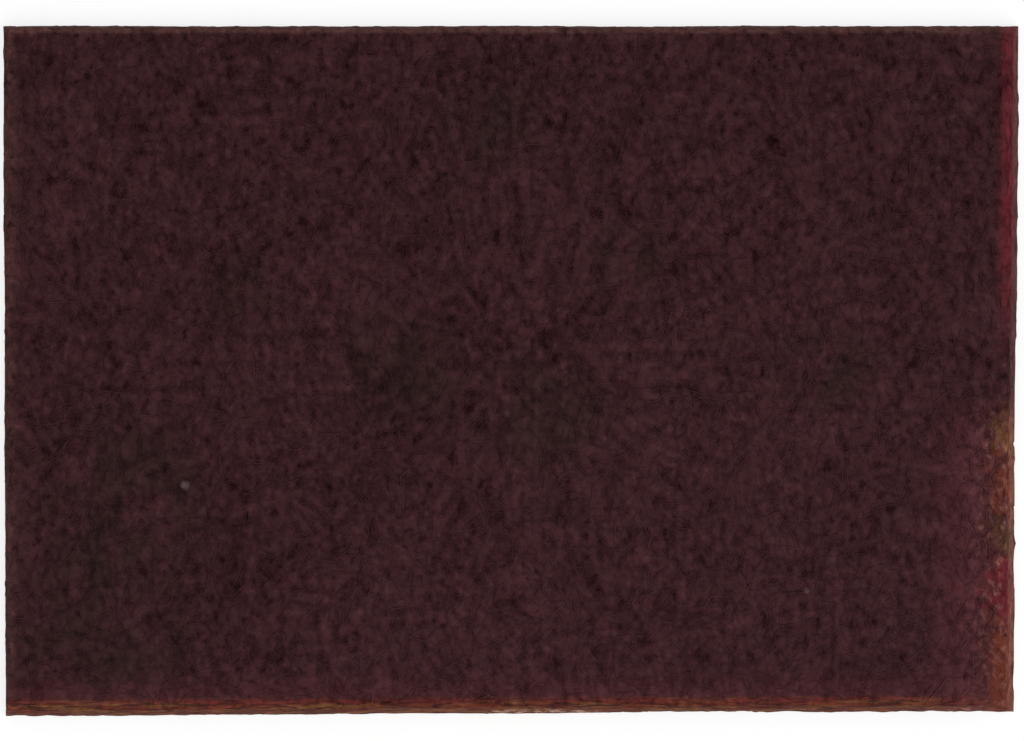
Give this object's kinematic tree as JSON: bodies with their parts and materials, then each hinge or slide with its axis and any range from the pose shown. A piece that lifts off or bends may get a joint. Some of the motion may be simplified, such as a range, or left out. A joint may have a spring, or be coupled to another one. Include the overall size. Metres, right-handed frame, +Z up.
{
  "type": "non-woven abrasive pad",
  "caption": "Flat rectangular hand pad of resin-bonded non-woven fibre web, for scuffing, deburring and cleaning by hand.",
  "frame": {"origin": "centre of the pad's footprint, on the surface that it lies on", "axes": "+X along the 9 inch length, +Y across it towards the back edge, +Z up out of the worked face"},
  "size_m": [0.2296, 0.156, 0.0076],
  "materials": {
    "fibre_web": "matte"
  },
  "bodies": {
    "root": {"abrasive_pad": "fibre_web"}
  },
  "joints": []
}
